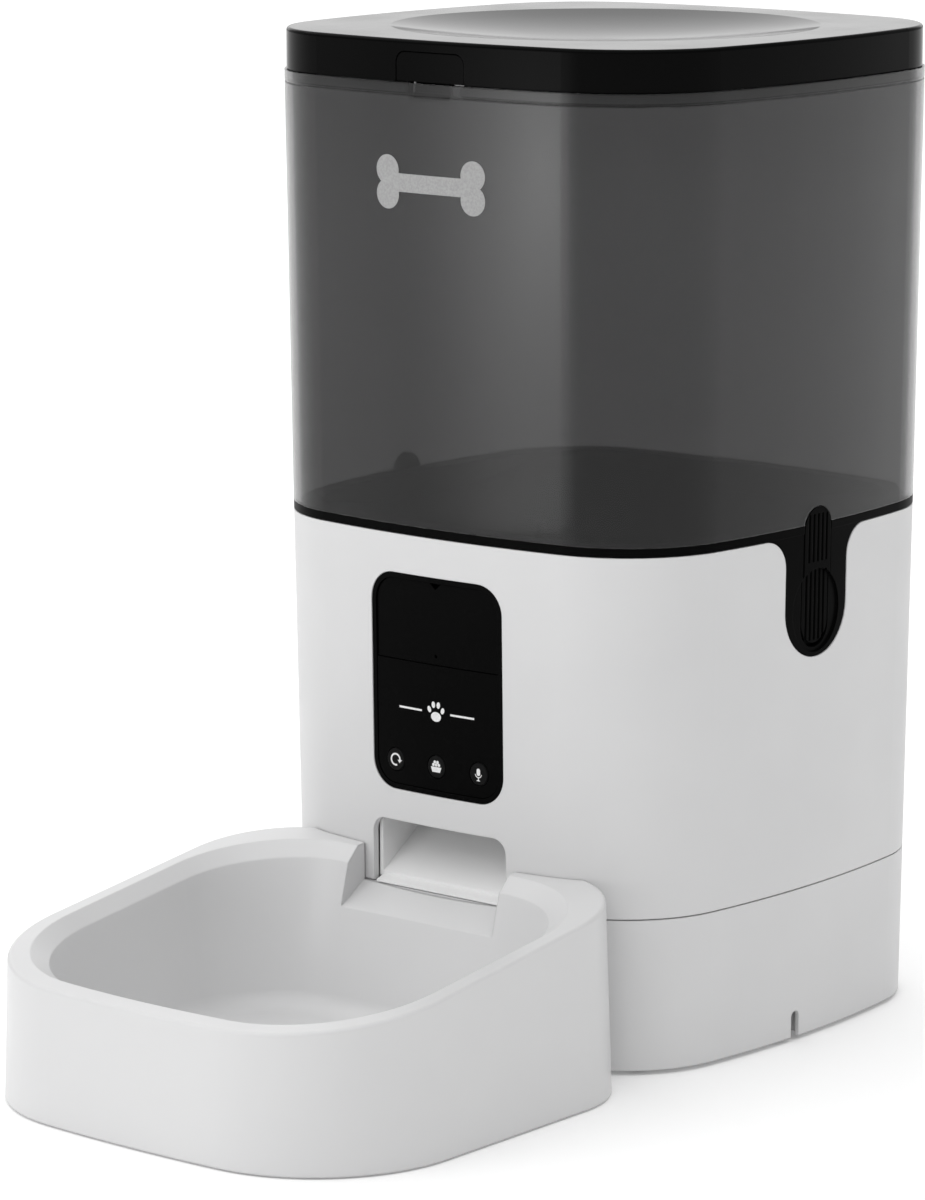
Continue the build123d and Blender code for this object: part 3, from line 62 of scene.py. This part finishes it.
# ---------------------------------------------------------------- material building blocks
class Finish:
    """A procedural Principled material, drawn in the object's own metres."""

    def __init__(self, name, rounding=0.0):
        self.material = bpy.data.materials.new(name)
        self.material.use_nodes = True
        self.tree = self.material.node_tree
        self.shader = self.tree.nodes["Principled BSDF"]
        self.output = self.tree.nodes["Material Output"]
        self.place = self.node("TexCoord").outputs["Object"]
        self.normal = None
        if rounding:
            bevel = self.node("Bevel")
            bevel.samples = 4
            bevel.inputs["Radius"].default_value = rounding
            self.normal = bevel.outputs["Normal"]
            self.link(self.normal, self.shader.inputs["Normal"])

    def node(self, kind):
        return self.tree.nodes.new("ShaderNode" + kind)

    def link(self, source, target):
        self.tree.links.new(source, target)

    def set(self, **sockets):
        for name, value in sockets.items():
            self.shader.inputs[name.replace("_", " ")].default_value = value
        return self

    def noise(self, size, detail=2.0, stretch=(1, 1, 1)):
        """Noise whose features are about size metres across."""
        scaled = self.node("VectorMath")
        scaled.operation = "MULTIPLY"
        scaled.inputs[1].default_value = stretch
        self.link(self.place, scaled.inputs[0])
        texture = self.node("TexNoise")
        texture.inputs["Scale"].default_value = 1 / size
        texture.inputs["Detail"].default_value = detail
        self.link(scaled.outputs["Vector"], texture.inputs["Vector"])
        return texture.outputs["Fac"]

    def spread(self, source, low, high, ends=NOISE_RANGE):
        """Maps the source's values between the two ends onto low to high."""
        mapped = self.node("MapRange")
        mapped.inputs["From Min"].default_value = ends[0]
        mapped.inputs["From Max"].default_value = ends[1]
        mapped.inputs["To Min"].default_value = low
        mapped.inputs["To Max"].default_value = high
        self.link(source, mapped.inputs["Value"])
        return mapped.outputs["Result"]

    def rough(self, source, low, high):
        self.link(self.spread(source, low, high), self.shader.inputs["Roughness"])
        return self

    def tint(self, source, first, second, ends=NOISE_RANGE):
        """Blends two colours by the source."""
        mix = self.node("Mix")
        mix.data_type = "RGBA"
        mix.inputs["A"].default_value = (*first, 1)
        mix.inputs["B"].default_value = (*second, 1)
        self.link(self.spread(source, 0, 1, ends), mix.inputs["Factor"])
        self.link(mix.outputs["Result"], self.shader.inputs["Base Color"])
        return self

    def bump(self, source, height, strength):
        """Raises the surface by up to height metres where the source is high."""
        bump = self.node("Bump")
        bump.inputs["Strength"].default_value = strength
        bump.inputs["Distance"].default_value = height
        self.link(source, bump.inputs["Height"])
        if self.normal is not None:
            self.link(self.normal, bump.inputs["Normal"])
        self.normal = bump.outputs["Normal"]
        self.link(self.normal, self.shader.inputs["Normal"])
        return self


def grey(value, blue=0.0):
    """A grey that is bluer by the share blue."""
    return (value, value, value * (1 + blue))


def moulded(name, light, dark, rough, grain, depth, rounding, **sockets):
    """Moulded plastic: faint clouding, a spark-eroded grain and an uneven sheen."""
    cloud_size, sheen_size, grain_strength = 0.09, 0.02, 0.6
    finish = Finish(name, rounding).set(**sockets)
    finish.tint(finish.noise(cloud_size, 3), dark, light)
    finish.rough(finish.noise(sheen_size, 4), *rough)
    finish.bump(finish.noise(grain, 2), depth, grain_strength)
    return finish


def metal(name, colour, rough, stretch):
    """Plated or drawn metal, with fine lines along one direction."""
    rounding, line_size, line_depth, dull = 0.15 * MM, 0.004, 0.01 * MM, 0.82
    finish = Finish(name, rounding).set(Metallic=1.0)
    lines = finish.noise(line_size, 5, stretch)
    finish.tint(lines, [c * dull for c in colour], colour)
    finish.rough(lines, *rough)
    finish.bump(lines, line_depth, 0.5)
    return finish


# ---------------------------------------------------------------- finishes of the feeder
# The blacks are darker, and reflect less, than black plastic does: the photograph's studio has
# hardly any light at the sides.
white = moulded("white_shell", light=grey(0.660, 0.004), dark=grey(0.635, 0.006),
                rough=(0.40, 0.50), grain=0.8 * MM, depth=0.012 * MM, rounding=0.7 * MM, IOR=1.46)
bowl_white = moulded("white_bowl", light=grey(0.655, 0.004), dark=grey(0.635, 0.006),
                     rough=(0.30, 0.38), grain=0.9 * MM, depth=0.006 * MM, rounding=1.1 * MM,
                     IOR=1.48)
# The chute is the shell's white plastic painted lighter, 0.86 against 0.66: painted light that
# brightens its deep outlet, which otherwise lies in shade.
chute_painted_lighter = moulded("white_chute_painted_light", light=grey(0.860), dark=grey(0.840), rough=(0.40, 0.50),
                      grain=0.8 * MM, depth=0.008 * MM, rounding=0.3 * MM, IOR=1.46)
inner_white = moulded("white_inside", light=grey(0.600), dark=grey(0.560), rough=(0.45, 0.55),
                      grain=0.8 * MM, depth=0.012 * MM, rounding=0.3 * MM, IOR=1.46)
satin_black = moulded("satin_black", light=grey(0.0026), dark=grey(0.0018), rough=(0.28, 0.38),
                      grain=0.5 * MM, depth=0.006 * MM, rounding=0.35 * MM, IOR=1.07)
panel_black = moulded("panel_black", light=grey(0.0020), dark=grey(0.0014), rough=(0.22, 0.30),
                      grain=0.4 * MM, depth=0.003 * MM, rounding=0.3 * MM, IOR=1.08)
button_black = moulded("button_black", light=grey(0.0050), dark=grey(0.0038), rough=(0.30, 0.40),
                       grain=0.4 * MM, depth=0.004 * MM, rounding=0.3 * MM, IOR=1.14)
rubber = moulded("rubber", light=grey(0.055), dark=grey(0.040), rough=(0.75, 0.88),
                 grain=0.5 * MM, depth=0.03 * MM, rounding=0.2 * MM, IOR=1.4)
nylon = moulded("nylon", light=(0.70, 0.68, 0.60), dark=(0.64, 0.62, 0.54), rough=(0.38, 0.48),
                grain=0.6 * MM, depth=0.008 * MM, rounding=0.08 * MM, IOR=1.5)
silicone = moulded("silicone", light=grey(0.46), dark=grey(0.40), rough=(0.55, 0.68),
                   grain=0.9 * MM, depth=0.01 * MM, rounding=0.2 * MM, IOR=1.42)
epoxy = moulded("epoxy", light=grey(0.022), dark=grey(0.014), rough=(0.42, 0.55),
                grain=0.3 * MM, depth=0.01 * MM, rounding=0.08 * MM, IOR=1.4)
paper = moulded("paper", light=(0.74, 0.72, 0.66), dark=(0.62, 0.60, 0.55), rough=(0.85, 0.95),
                grain=0.35 * MM, depth=0.08 * MM, rounding=0.3 * MM, IOR=1.35)
cone = moulded("cone", light=grey(0.040), dark=grey(0.022), rough=(0.7, 0.85),
               grain=0.3 * MM, depth=0.05 * MM, rounding=0.1 * MM, IOR=1.35)
steel = metal("steel", colour=(0.58, 0.58, 0.60), rough=(0.22, 0.34), stretch=(1, 1, 0.1))
motor_can = metal("motor_can", colour=(0.50, 0.51, 0.53), rough=(0.28, 0.40),
                  stretch=(1, 1, 0.15))

# Polished lid: nearly mirror smooth, with the faint waviness of a thin moulding.
gloss = Finish("gloss_lid", rounding=0.5 * MM).set(IOR=1.10)
gloss.tint(gloss.noise(0.12, 2), grey(0.0016), grey(0.0024))
gloss.rough(gloss.noise(0.03, 4), 0.05, 0.10)
gloss.bump(gloss.noise(0.05, 1), height=0.05 * MM, strength=0.25)

# Circuit board: solder mask with lighter copper runs under it.
board = Finish("board", rounding=0.05 * MM).set(IOR=1.5)
runs = board.noise(2.2 * MM, 0, stretch=(1, 1, 5))
board.tint(runs, (0.004, 0.060, 0.022), (0.010, 0.120, 0.045), ends=(0.49, 0.51))
board.rough(board.noise(4 * MM, 2), 0.25, 0.38)
board.bump(runs, height=0.02 * MM, strength=0.5)

# Battery wrap: dark film with a copper-coloured band at one end of the cells.
BAND_SHARE = 0.24
BAND_EDGE = 0.2 * MM
wrap = Finish("cell_wrap", rounding=0.6 * MM).set(IOR=1.5, Metallic=0.35)
wrap.rough(wrap.noise(0.01, 3), 0.22, 0.32)
cells_low, cells_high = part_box("batteries")
band_at = cells_low.y + BAND_SHARE * (cells_high.y - cells_low.y)
along = wrap.node("SeparateXYZ")
wrap.link(wrap.place, along.inputs[0])
wrap.tint(along.outputs["Y"], (0.50, 0.22, 0.08), (0.018, 0.020, 0.026),
          ends=(band_at, band_at + BAND_EDGE))


def smoky_plastic():
    """Clear plastic with a grey tint, through which lamps shine about as the camera sees."""
    lamp_share = (0.57, 0.57, 0.58, 1)
    edge_colour = (0.02, 0.02, 0.02, 1)
    edge_share, edge_range = 0.6, (0.86, 1.0)
    finish = Finish("smoky_tank", rounding=0.5 * MM).set(IOR=1.35, Transmission_Weight=1.0)
    finish.tint(finish.noise(0.16, 2), grey(0.155, 0.01), grey(0.168, 0.01))
    finish.rough(finish.noise(0.04, 3), 0.02, 0.04)
    finish.bump(finish.noise(0.10, 1), height=0.04 * MM, strength=0.1)
    # Seen edge on, the plastic is thicker and so darker.
    edge_on = finish.node("LayerWeight").outputs["Facing"]
    thick = finish.node("BsdfDiffuse")
    thick.inputs["Color"].default_value = edge_colour
    body = finish.node("MixShader")
    finish.link(finish.spread(edge_on, 0, edge_share, edge_range), body.inputs["Fac"])
    finish.link(finish.shader.outputs["BSDF"], body.inputs[1])
    finish.link(thick.outputs["BSDF"], body.inputs[2])
    clear = finish.node("BsdfTransparent")
    clear.inputs["Color"].default_value = lamp_share
    both = finish.node("MixShader")
    finish.link(finish.node("LightPath").outputs["Is Shadow Ray"], both.inputs["Fac"])
    finish.link(body.outputs["Shader"], both.inputs[1])
    finish.link(clear.outputs["BSDF"], both.inputs[2])
    finish.link(both.outputs["Shader"], finish.output.inputs["Surface"])
    return finish


BY_SLOT = {
    "white_plastic": white, "tank_smoke": smoky_plastic(), "lid_gloss": gloss,
    "black_satin": satin_black, "panel_black": panel_black, "button_black": button_black,
    "silicone": silicone, "rubber_grey": rubber, "gear_nylon": nylon, "steel": steel,
    "motor_steel": motor_can, "cell_wrap": wrap, "board_green": board, "component_black": epoxy,
    "sachet_paper": paper, "cone_paper": cone,
}
BY_NODE = {
    "bowl": bowl_white, "chute": chute_painted_lighter, "deck": inner_white, "desiccant_box": inner_white,
    "desiccant_grille": inner_white,
}


def dress(piece, finish):
    """Puts one finish on every material slot of a piece."""
    if not piece.data.materials:
        piece.data.materials.append(finish.material)
    for index in range(len(piece.data.materials)):
        piece.data.materials[index] = finish.material


for part in frame["record"]["subparts"]:
    dress(nodes[part["node"]], BY_NODE.get(part["node"], BY_SLOT[part["material_slot"]]))


# ---------------------------------------------------------------- shapes of the printed marks
# A mark is a list of outlines, and an outline is a list of (x, z).
def ellipse(x, z, rx, rz, turn=0.0, count=28):
    points = []
    for step in range(count):
        angle = 2 * pi * step / count
        px, pz = rx * cos(angle), rz * sin(angle)
        points.append((x + px * cos(turn) - pz * sin(turn), z + px * sin(turn) + pz * cos(turn)))
    return points


def arc_band(x, z, inner, outer, start, end, count=26):
    """Part of a ring, from start to end degrees."""
    angles = [radians(start + (end - start) * i / count) for i in range(count + 1)]
    return ([(x + outer * cos(a), z + outer * sin(a)) for a in angles]
            + [(x + inner * cos(a), z + inner * sin(a)) for a in reversed(angles)])


def bar(x0, x1, z0, z1):
    return [(x0, z0), (x1, z0), (x1, z1), (x0, z1)]


def paw(x, z, size):
    """A paw print: a broad pad and four toes."""
    toes = [(-0.40, 0.12, 0.35), (-0.15, 0.36, 0.12), (0.15, 0.36, -0.12), (0.40, 0.12, -0.35)]
    pad = ellipse(x, z - 0.20 * size, 0.30 * size, 0.23 * size)
    return [pad] + [ellipse(x + dx * size, z + dz * size, 0.105 * size, 0.155 * size, turn, 18)
                    for dx, dz, turn in toes]


def restart_mark(x, z, size):
    """An open ring that ends in an arrowhead."""
    radius, half_width, head = 0.38 * size, 0.06 * size, 0.20 * size
    tip = radians(-35)
    ring = arc_band(x, z, radius - half_width, radius + half_width, 0, 290)
    arrow = [(x + radius - head, z), (x + radius + head, z),
             (x + radius * cos(tip) + 0.02 * size, z + radius * sin(tip))]
    return [ring, arrow]


def bowl_mark(x, z, size):
    """A bowl seen from the side, heaped with food."""
    half, foot, deep, ball = 0.46 * size, 0.72, 0.36 * size, 0.11 * size
    heap = ((-0.24, 0.14), (0, 0.14), (0.24, 0.14), (-0.12, 0.33), (0.12, 0.33))
    dish = [(x - half, z), (x + half, z), (x + foot * half, z - deep), (x - foot * half, z - deep)]
    return [dish] + [ellipse(x + dx * size, z + dz * size, ball, ball, 0, 14) for dx, dz in heap]


def microphone_mark(x, z, size):
    """A microphone on its stand."""
    half, stem = 0.15 * size, 0.035 * size
    low, high = z + 0.04 * size, z + 0.24 * size
    capsule = [arc_band(x, high, 0, half, 0, 180, 12), bar(x - half, x + half, low, high),
               arc_band(x, low, 0, half, 180, 360, 12)]
    stand = [arc_band(x, low, 0.24 * size, 0.30 * size, 190, 350, 14),
             bar(x - stem, x + stem, z - 0.42 * size, z - 0.25 * size),
             bar(x - 4 * stem, x + 4 * stem, z - 0.47 * size, z - 0.41 * size)]
    return capsule + stand


def bone(x, z, half, lobe):
    """The outline of a bone: a bar with two round lobes at each end."""
    apart, steps = 0.8 * lobe, 18
    meets_bar, meets_lobe = 180 + 11, -53
    outline = []
    for side, up, turn in ((1, 1, 0), (1, -1, 0), (-1, -1, 180), (-1, 1, 180)):
        start, end = (meets_bar, meets_lobe) if side * up > 0 else (-meets_lobe, -meets_bar)
        for step in range(steps + 1):
            angle = radians(turn + start + (end - start) * step / steps)
            outline.append((x + side * half + lobe * cos(angle),
                            z + up * apart + lobe * sin(angle)))
    return outline


# ---------------------------------------------------------------- generic marks, printed
INK = 0.06 * MM
MARK_STEP = 2 * MM
BUTTON_MARK = 5.2 * MM
PAW_SIZE = 7.5 * MM
LABEL_SHARE = 0.625                     # how far up the lower plate the label stands
LABEL_LINES = (6.5 * MM, 17 * MM)       # where each short line starts and ends
LABEL_LINE_HALF = 0.35 * MM
BONE_DROP = 37.5 * MM
BONE_HALF = 19 * MM
BONE_LOBE = 5.2 * MM


def front_face(node):
    """How far forward a CAD node's front stands at (x, z), read from its mesh."""
    def at(x, z):
        hit, place, _, _ = nodes[node].ray_cast(Vector((x, -1, z)), Vector((0, 1, 0)))
        if not hit:
            raise ValueError(f"{node} has no front face at {x:.4f}, {z:.4f}")
        return place.y
    return at


def printed_mark(name, outlines, body, finish, surface_y):
    """A thin printed mark on an upright face, which stands at surface_y(x, z)."""
    mark = bmesh.new()
    for outline in outlines:
        mark.faces.new([mark.verts.new((x, 0, z)) for x, z in outline])
    # A face needs its normal before it is cut into triangles, or its hollows fill up.
    mark.normal_update()
    bmesh.ops.triangulate(mark, faces=mark.faces)
    # The triangles are made small enough for the mark to follow the face's curve.
    while True:
        long_edges = [edge for edge in mark.edges if edge.calc_length() > MARK_STEP]
        if not long_edges:
            break
        bmesh.ops.subdivide_edges(mark, edges=long_edges, cuts=1)
        bmesh.ops.triangulate(mark, faces=mark.faces[:])
    front = list(mark.verts)
    grown = bmesh.ops.extrude_face_region(mark, geom=mark.faces[:], use_keep_orig=True)["geom"]
    back = [corner for corner in grown if isinstance(corner, bmesh.types.BMVert)]
    for corner in front:
        corner.co.y = surface_y(corner.co.x, corner.co.z) - INK
    for corner in back:
        corner.co.y = surface_y(corner.co.x, corner.co.z) + INK / 2
    bmesh.ops.recalc_face_normals(mark, faces=mark.faces)
    data = bpy.data.meshes.new(name)
    mark.to_mesh(data)
    mark.free()
    piece = bpy.data.objects.new(name, data)
    bpy.context.scene.collection.objects.link(piece)
    piece.data.materials.append(finish.material)
    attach(piece, body)


ink = Finish("white_ink").set(Roughness=0.5, IOR=1.45)
ink.tint(ink.noise(0.6 * MM, 2), grey(0.72), grey(0.80))
for name, draw in (("restart_button", restart_mark), ("feed_button", bowl_mark),
                   ("voice_button", microphone_mark)):
    low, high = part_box(name)
    middle = (low + high) / 2
    printed_mark(name + "_mark", draw(middle.x, middle.z, BUTTON_MARK), name,
                 ink, front_face(name))

# A paw print between two short lines, on the panel's lower plate.
fascia_low, fascia_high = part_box("panel_fascia")
label_z = fascia_low.z + LABEL_SHARE * (fascia_high.z - fascia_low.z)
label = paw(0, label_z, PAW_SIZE)
for side in (-1, 1):
    start, end = sorted(side * x for x in LABEL_LINES)
    label.append(bar(start, end, label_z - LABEL_LINE_HALF, label_z + LABEL_LINE_HALF))
printed_mark("panel_label", label, "housing", ink, front_face("panel_fascia"))

# A plain bone on the tank's front, in light grey.
tank_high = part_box("tank_shell")[1]
tank_ink = Finish("grey_ink").set(Roughness=0.55, IOR=1.4)
tank_ink.tint(tank_ink.noise(0.8 * MM, 2), grey(0.30), grey(0.36))
printed_mark("tank_label", [bone(0, tank_high.z - BONE_DROP, BONE_HALF, BONE_LOBE)], "tank",
             tank_ink, front_face("tank_shell"))


# ---------------------------------------------------------------- floor, light and camera
def plain_floor():
    """A wide pale floor, a hair below the feeder's feet."""
    bpy.ops.mesh.primitive_circle_add(vertices=96, radius=14, fill_type="NGON",
                                      location=(0, 0, -0.0002))
    floor = bpy.context.object
    floor.name = "floor"
    finish = Finish("floor_white").set(IOR=1.3, Emission_Color=(1, 1, 1, 1),
                                       Emission_Strength=0.10)
    finish.tint(finish.noise(1.5, 2), grey(0.93), grey(0.95))
    finish.rough(finish.noise(0.5, 2), 0.9, 1.0)
    floor.data.materials.append(finish.material)


def beside(aim, azimuth, distance, height):
    """A place at an angle from the front (0) of aim, and height above it."""
    turn = radians(azimuth)
    return aim + Vector((sin(turn) * distance, -cos(turn) * distance, height))


def glow_card(name, place, wide, high, strength, aim):
    """A glowing card that fades out towards its edges, so that its reflection is soft.

    It is clear wherever it doesn't glow, and the camera doesn't see it.
    """
    bpy.ops.mesh.primitive_grid_add(x_subdivisions=2, y_subdivisions=2, size=1)
    card = bpy.context.object
    card.name = name
    card.scale = (wide, high, 1)
    card.location = place
    card.rotation_euler = (card.location - aim).to_track_quat("Z", "Y").to_euler()
    finish = Finish(name)
    scaled = finish.node("VectorMath")
    scaled.operation = "SCALE"
    scaled.inputs["Scale"].default_value = 2
    finish.link(finish.place, scaled.inputs[0])
    fade = finish.node("TexGradient")
    fade.gradient_type = "QUADRATIC_SPHERE"
    finish.link(scaled.outputs["Vector"], fade.inputs["Vector"])
    glow = finish.node("Emission")
    finish.link(finish.spread(fade.outputs["Fac"], 0, strength, (0, 1)), glow.inputs["Strength"])
    both = finish.node("AddShader")
    finish.link(glow.outputs["Emission"], both.inputs[0])
    finish.link(finish.node("BsdfTransparent").outputs["BSDF"], both.inputs[1])
    finish.link(both.outputs["Shader"], finish.output.inputs["Surface"])
    card.data.materials.append(finish.material)
    card.visible_camera = False
    card.visible_transmission = False


def soft_box(name, place, wide, high, power, aim):
    """A broad area lamp that points at aim."""
    data = bpy.data.lights.new(name, "AREA")
    data.shape = "RECTANGLE"
    data.size = wide
    data.size_y = high
    data.energy = power
    lamp = bpy.data.objects.new(name, data)
    lamp.location = place
    lamp.rotation_euler = (aim - lamp.location).to_track_quat("-Z", "Y").to_euler()
    bpy.context.scene.collection.objects.link(lamp)


def overhead(strength, spread):
    """Broad, very soft light from nearly straight above; spread is in degrees."""
    data = bpy.data.lights.new("overhead", "SUN")
    data.energy = strength
    data.angle = radians(spread)
    lamp = bpy.data.objects.new("overhead", data)
    lamp.rotation_euler = (radians(8), radians(-8), 0)
    bpy.context.scene.collection.objects.link(lamp)


def overcast(strength):
    """An even white surrounding light."""
    world = bpy.data.worlds.new("studio")
    world.use_nodes = True
    sky = world.node_tree.nodes["Background"]
    sky.inputs["Color"].default_value = (1.0, 1.0, 1.0, 1)
    sky.inputs["Strength"].default_value = strength
    bpy.context.scene.world = world


def photo_camera():
    """A long lens a little above the feeder's lid, to its front right."""
    azimuth, pitch, distance = radians(39.346), radians(10.86), 1.8209
    target = Vector((-0.0207, 0.0572, 0.1462))
    data = bpy.data.cameras.new("camera")
    data.sensor_width = 36
    data.lens = 151.48
    data.shift_x = -0.0563
    data.clip_end = 60
    camera = bpy.data.objects.new("camera", data)
    away = Vector((sin(azimuth) * cos(pitch), -cos(azimuth) * cos(pitch), sin(pitch)))
    camera.location = target + away * distance
    camera.rotation_euler = (pi / 2 - pitch, 0, azimuth)
    bpy.context.scene.collection.objects.link(camera)
    bpy.context.scene.camera = camera


centre = (Vector(cad_box[0]) + Vector(cad_box[1])) / 2
plain_floor()
overcast(strength=0.46)
overhead(strength=2.1, spread=110)
soft_box("back_light", beside(centre, azimuth=219, distance=2.8, height=1.0),
         wide=3.0, high=1.4, power=10, aim=centre)
glow_card("glow_card", beside(centre, azimuth=-23, distance=0.95, height=0.02),
          wide=0.85, high=0.70, strength=4.3, aim=centre)
photo_camera()
bpy.context.scene.view_settings.view_transform = "Standard"
